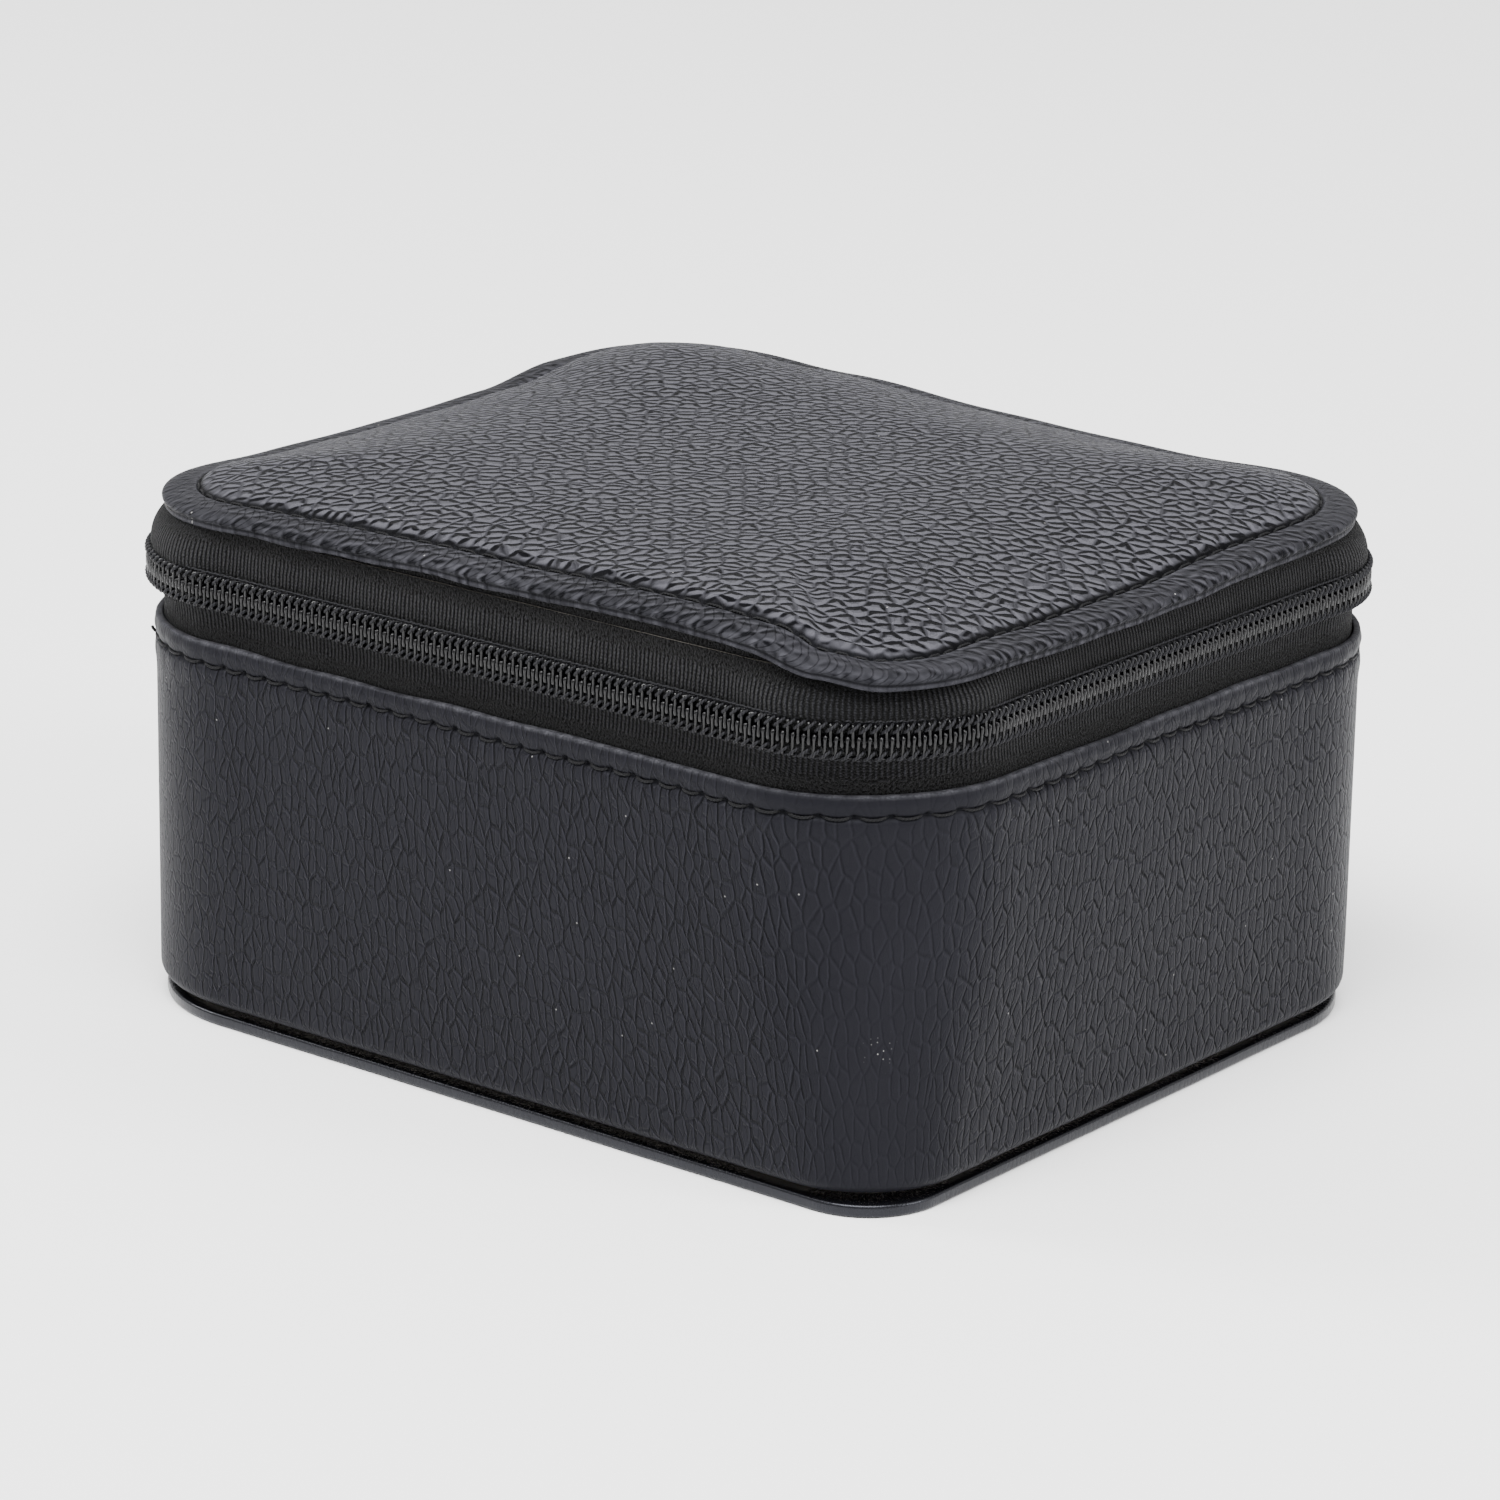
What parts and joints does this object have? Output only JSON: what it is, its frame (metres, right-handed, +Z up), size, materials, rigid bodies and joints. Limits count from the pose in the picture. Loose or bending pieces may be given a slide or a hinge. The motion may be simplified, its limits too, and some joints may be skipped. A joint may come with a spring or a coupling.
{
  "type": "leather jewellery case",
  "caption": "Rounded rectangular leather jewellery case with a padded hinged lid closed by a zip all round, a mirror in the lid, velvet compartments and ring rolls.",
  "frame": {"origin": "middle of the case's footprint on the underside of the base plate, where it rests", "axes": "+X along the longer wall, +Y towards the hinged back wall, +Z up; the zip sliders are on the -X wall"},
  "size_m": [0.1657, 0.142, 0.0886],
  "materials": {
    "leather": "black pebble-grained leather, satin",
    "lid_leather": "black fine-grained leather, satin",
    "base_wrap": "smooth black wrap, satin",
    "thread": "twisted black thread",
    "tape": "woven black zip tape",
    "coil": "black nylon coil",
    "metal": "dark plated zip metal",
    "velvet": "short-pile velvet on card",
    "card": "grey card",
    "padding": "thin foam",
    "mirror": "silvered glass"
  },
  "bodies": {
    "case": {"base_board": "card", "base_cover": "base_wrap", "floor_board": "card", "wall_board": "card", "wall_padding": "padding", "wall_leather": "leather", "wall_stitching": "thread", "wall_lining": "velvet", "floor_pad": "velvet", "divider_long": "velvet", "divider_left": "velvet", "divider_right": "velvet", "ring_block": "velvet", "ring_roll_1": "velvet", "ring_roll_2": "velvet", "ring_roll_3": "velvet", "ring_roll_4": "velvet", "lower_tape": "tape", "lower_coil": "coil", "lower_stop_left": "metal", "lower_stop_right": "metal", "hinge_strip": "leather"},
    "lid": {"lid_board": "card", "lid_frame": "card", "lid_foam": "padding", "lid_leather": "lid_leather", "lid_stitching": "thread", "lid_lining": "velvet", "mirror": "mirror", "mirror_frame": "velvet", "upper_tape": "tape", "upper_coil": "coil", "upper_stop_left": "metal", "upper_stop_right": "metal"},
    "front_slider": {"slider_front": "metal", "slider_front_bridge": "metal"},
    "rear_slider": {"slider_rear": "metal", "slider_rear_bridge": "metal"},
    "front_pull": {"pull_front": "metal"},
    "rear_pull": {"pull_rear": "metal"}
  },
  "joints": [
    {"name": "lid_hinge", "type": "hinge", "parent": "case", "child": "lid", "pos_m": [0, 0.0712, 0.0718], "axis": [-1, 0, 0], "range_deg": [0, 110], "deforming": ["hinge_strip"]},
    {"name": "front_slider_slide", "type": "slide", "parent": "case", "child": "front_slider", "axis": [0, -1, 0], "range_m": [0, 0.03], "deforming": ["lower_coil"]},
    {"name": "rear_slider_slide", "type": "slide", "parent": "case", "child": "rear_slider", "axis": [0, 1, 0], "range_m": [0, 0.03], "deforming": ["upper_coil"]},
    {"name": "front_pull_swing", "type": "hinge", "parent": "front_slider", "child": "front_pull", "pos_m": [-0.0829, -0.0066, 0.0718], "axis": [0, 0, -1], "range_deg": [0, 90]},
    {"name": "rear_pull_swing", "type": "hinge", "parent": "rear_slider", "child": "rear_pull", "pos_m": [-0.0829, 0.0066, 0.0718], "axis": [0, 0, 1], "range_deg": [0, 90]}
  ]
}
